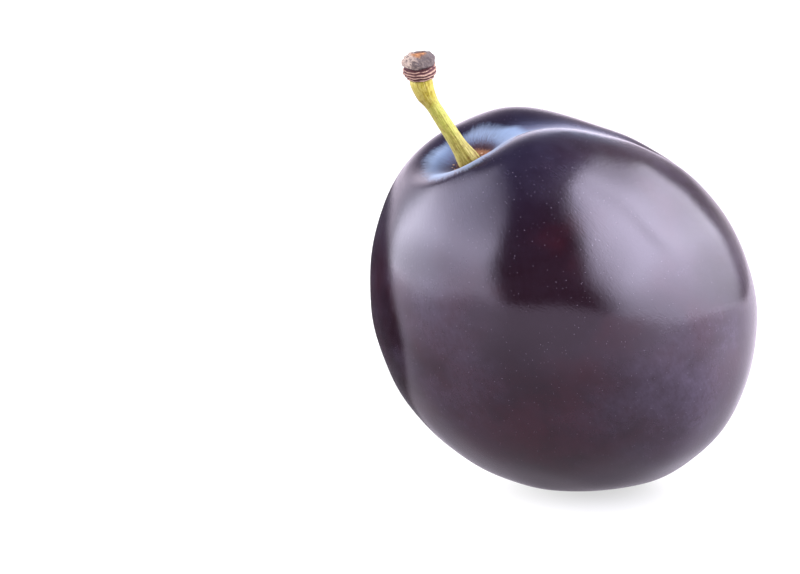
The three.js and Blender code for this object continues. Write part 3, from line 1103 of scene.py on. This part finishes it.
def soft_box(name, azimuth, start, end, top, level, pattern):
    """An upright panel of light, square to an azimuth, a metre from the fruit.

    Places along it are in metres from where it is nearest, and grow to the back. It runs from its
    start to its end, and from the floor to its top. The pattern takes a place and a height on it,
    and gives how bright it is there, as a share of its level."""
    angle = math.radians(azimuth)
    out = Vector((math.sin(angle), -math.cos(angle), 0))
    to_back = math.copysign(1, azimuth)
    along = Vector((math.cos(angle), math.sin(angle), 0)) * to_back
    light = bpy.data.lights.new(name, "AREA")
    light.shape = "RECTANGLE"
    light.size = end - start
    light.size_y = top
    light.energy = level * math.pi * light.size * light.size_y
    light.color = BOX_COLOUR
    light.use_nodes = True
    nodes = Nodes(light.node_tree)
    across, up, _ = nodes.split(nodes.add("ShaderNodeNewGeometry", {}, {}, "Parametric"))
    place = start + (end - start) * (across if to_back > 0 else 1 - across)
    nodes.feed(light.node_tree.nodes["Emission"].inputs["Strength"], pattern(place, up * top))
    lamp = put(name, light)
    lamp.location = out + along * (start + end) / 2 + Vector((0, 0, top / 2))
    lamp.rotation_euler = out.to_track_quat("Z", "Y").to_euler()
    lamp.visible_camera = False


def right_pattern(place, height):
    """Brightest a third from its front edge, and split by a thin seam."""
    hot_spot = 0.35 + 0.65 * (place + 0.2).bell(0.75)
    back = place - 0.75 * height.step(0.0, 0.6) - height.step(1.1, 2.2)
    raised = height + 0.12 * (place + 1.2)
    edges = place.step(-1.6, -0.8) * (1 - back.step(0.6, 1.3))
    upright = (0.42 + 0.58 * height.step(0.0, 0.75)) * (1 - 0.25 * height.step(1.0, 2.2))
    seam = 1 - 0.4 * height.step(0.35, 0.85) * (place + 0.07).bell(0.09)
    return hot_spot * edges * upright * seam * (1 - raised.step(2.4, 2.9))


def left_pattern(place, height):
    """Brightest low down and in the middle, and fading upwards and to the back."""
    front_edge = (place + 0.2 * height.step(0.3, 0.8)).step(-1.1, -0.6)
    back = place + 0.25 * height.step(0.8, 1.1) + 0.5 * height.step(0.95, 1.6)
    edges = front_edge * (1 - 0.9 * back.step(0.85, 1.3))
    front = 0.75 + 0.25 * place.step(-0.3, 0.15)
    upright = 1 - 0.52 * height.step(0.35, 1.3) - 0.48 * height.step(1.0, 2.7)
    low = 0.6 + 0.4 * height.step(0.05, 0.5)
    return edges * front * upright * low


def make_flag():
    """A black card to the left and behind, which only reflections see."""
    shape = bmesh.new()
    bmesh.ops.create_circle(shape, cap_ends=True, segments=64, radius=FLAG_RADIUS)
    turned = Vector(FLAG_FACING).to_track_quat("Z", "Y").to_matrix().to_4x4()
    bmesh.ops.transform(shape, verts=shape.verts[:], matrix=Matrix.Translation(FLAG_AT) @ turned)
    mesh = mesh_of(shape, "flag")
    finish = Finish("flag", Base_Color=FLAG_COLOUR, Roughness=0.9, IOR=1.0)
    x, y, z = finish.split(finish.place())
    from_middle = distance(x - FLAG_AT[0], y - FLAG_AT[1], z - FLAG_AT[2])
    finish.set("Alpha", 1 - from_middle.step(0.88 * FLAG_RADIUS, FLAG_RADIUS))
    mesh.materials.append(finish.material)
    flag = put("flag", mesh)
    flag.visible_camera = False
    flag.visible_diffuse = False
    flag.visible_shadow = False


def make_floor(settings):
    """A plain floor, which the camera sees white with a painted shadow, a soft grey patch, at the
    fruit's foot.

    Reflections see it with painted shade: dimmer near the fruit, and dark where the black card's
    shadow is painted on it."""
    shape = bmesh.new()
    bmesh.ops.create_grid(shape, x_segments=2, y_segments=2, size=9)
    mesh = mesh_of(shape, "floor")
    finish = Finish("floor", Roughness=0.55, Emission_Strength=1.0, IOR=1.2)
    x, y, _ = finish.split(finish.place())
    squeeze_x, squeeze_y = FOOT_SHADE_SQUEEZE
    from_foot = distance(squeeze_x * (x - FOOT_SHADE_AT[0]), squeeze_y * (y - FOOT_SHADE_AT[1]))
    # The camera sees the floor white, with a painted shadow at the fruit's foot.
    white = settings.painted_shadow_glow + (WHITE - settings.painted_shadow_glow) * from_foot.step(*FOOT_SHADE)
    # The black card's shadow is painted on the floor, in its own colour and in its glow.
    from_shade = distance(x - FLAG_SHADE_AT[0], y - FLAG_SHADE_AT[1])
    shade = 0.04 + 0.96 * from_shade.step(*FLAG_SHADE)
    finish.set("Base Color", finish.mixed(shade, (0, 0, 0), settings.floor_colour))
    # Reflections see the floor's glow with painted shade: dimmer near the fruit, and dark in the
    # card's painted shadow.
    level = 0.32 + 0.75 * distance(x, y).step(0.012, 0.09) + 0.4 * abs(x).step(0.13, 0.45)
    inputs = {0: ROOM_COLOUR, 3: level * shade}
    reflected = finish.add("ShaderNodeVectorMath", {"operation": "SCALE"}, inputs)
    finish.set("Emission Color", finish.mixed(finish.seen(), reflected, finish.grey(white)))
    mesh.materials.append(finish.material)
    floor = put("floor", mesh)


def make_world():
    """Dark to the front and above, and white behind the fruit, higher up on its left side.

    The white is brightest just over the horizon. The camera itself sees white all round."""
    world = bpy.data.worlds.new("studio")
    bpy.context.scene.world = world
    world.use_nodes = True
    nodes = Nodes(world.node_tree)
    x, y, z = nodes.split(nodes.add("ShaderNodeTexCoord", {}, {}, "Generated"))
    behind = (y / distance(x, y, 0.01)).step(0.45, 0.97)
    taller = (1 - x.step(0.1, 0.28)) * x.step(-0.75, -0.5)
    lower = 0.26 + 0.84 * (1 - z.step(0.1 + 0.45 * taller, 0.25 + 0.6 * taller))
    lower = lower * (1 - 0.4 * x.step(0.35, 0.55))
    rim = z.step(0.02, 0.12) * (1 - z.step(0.5, 0.7)) * (1 - x.step(0.2, 0.4))
    light = 0.01 + behind * lower * (1 + 0.6 * rim) * (1 - z.step(0.85, 0.95))
    seen = nodes.seen()
    background = world.node_tree.nodes["Background"]
    nodes.feed(background.inputs["Color"], nodes.mixed(seen, ROOM_COLOUR, (1, 1, 1)))
    nodes.feed(background.inputs["Strength"], light + seen * (WHITE - light))


def make_camera():
    """A long lens, moved so that the fruit's centre comes to its place in the picture."""
    centre = Vector(fruit_centre())
    forward = Vector((0, math.cos(CAMERA_ELEVATION), -math.sin(CAMERA_ELEVATION)))
    up = Vector((0, math.sin(CAMERA_ELEVATION), math.cos(CAMERA_ELEVATION)))
    pixel = CAMERA_SENSOR / CAMERA_LENS * CAMERA_DISTANCE / PICTURE_WIDTH
    aim = centre - Vector((1, 0, 0)) * (FRUIT_PIXEL[0] - PICTURE_WIDTH / 2) * pixel
    aim += up * (FRUIT_PIXEL[1] - PICTURE_HEIGHT / 2) * pixel
    lens = bpy.data.cameras.new("camera")
    lens.lens = CAMERA_LENS
    lens.sensor_width = CAMERA_SENSOR
    camera = put("camera", lens)
    camera.location = aim - forward * CAMERA_DISTANCE
    camera.rotation_euler = forward.to_track_quat("-Z", "Y").to_euler()
    bpy.context.scene.camera = camera


def make_stage(settings):
    bpy.context.scene.view_settings.view_transform = "Standard"
    make_camera()
    make_floor(settings)
    make_world()
    soft_box(
        "right_box", azimuth=78, start=-1.6, end=2.9, top=2.95,
        level=settings.right_level, pattern=right_pattern,
    )
    soft_box(
        "left_box", azimuth=-80, start=-1.3, end=2.0, top=2.7,
        level=settings.left_level, pattern=left_pattern,
    )
    make_flag()


# ---------------------------------------------------------------- operators


class PLUM_OT_skin(bpy.types.Operator):
    """Add the fruit's skin"""

    bl_idname = "plum.skin"
    bl_label = "Skin"

    def execute(self, context):
        make_skin(context.scene.plum_fruit)
        return {"FINISHED"}


class PLUM_OT_stem(bpy.types.Operator):
    """Add the green stem"""

    bl_idname = "plum.stem"
    bl_label = "Stem"

    def execute(self, context):
        make_stem(context.scene.plum_stem)
        return {"FINISHED"}


class PLUM_OT_knob(bpy.types.Operator):
    """Add the woody knob at the stem's free end"""

    bl_idname = "plum.knob"
    bl_label = "Knob"

    def execute(self, context):
        make_knob(context.scene.plum_knob)
        return {"FINISHED"}


class PLUM_OT_collar(bpy.types.Operator):
    """Add the cork ring at the stem's foot"""

    bl_idname = "plum.collar"
    bl_label = "Cork ring"

    def execute(self, context):
        make_collar(context.scene.plum_collar)
        return {"FINISHED"}


class PLUM_OT_stage(bpy.types.Operator):
    """Add the camera, the floor, the world, the soft boxes and the black card"""

    bl_idname = "plum.stage"
    bl_label = "Stage"

    def execute(self, context):
        make_stage(context.scene.plum_stage)
        return {"FINISHED"}


class PLUM_PT_panel(bpy.types.Panel):
    """The plum's settings and the buttons that make its pieces"""

    bl_label = "Plum"
    bl_idname = "PLUM_PT_panel"
    bl_space_type = "VIEW_3D"
    bl_region_type = "UI"
    bl_category = "Plum"

    def draw(self, context):
        for group, operator in STEPS:
            box = self.layout.box()
            settings = getattr(context.scene, group)
            for name in settings.__annotations__:
                box.prop(settings, name)
            box.operator(operator)


GROUPS = {
    "plum_fruit": PlumFruit,
    "plum_stem": PlumStem,
    "plum_knob": PlumKnob,
    "plum_collar": PlumCollar,
    "plum_stage": PlumStage,
}
STEPS = (
    ("plum_fruit", "plum.skin"),
    ("plum_stem", "plum.stem"),
    ("plum_knob", "plum.knob"),
    ("plum_collar", "plum.collar"),
    ("plum_stage", "plum.stage"),
)
CLASSES = (
    *GROUPS.values(),
    PLUM_OT_skin,
    PLUM_OT_stem,
    PLUM_OT_knob,
    PLUM_OT_collar,
    PLUM_OT_stage,
    PLUM_PT_panel,
)


def register():
    for cls in CLASSES:
        bpy.utils.register_class(cls)
    for name, group in GROUPS.items():
        setattr(bpy.types.Scene, name, PointerProperty(type=group))


def unregister():
    for name in GROUPS:
        delattr(bpy.types.Scene, name)
    for cls in reversed(CLASSES):
        bpy.utils.unregister_class(cls)


def main():
    register()
    bpy.ops.plum.skin()
    bpy.ops.plum.stem()
    bpy.ops.plum.knob()
    bpy.ops.plum.collar()
    bpy.ops.plum.stage()


if __name__ == "__main__":
    main()
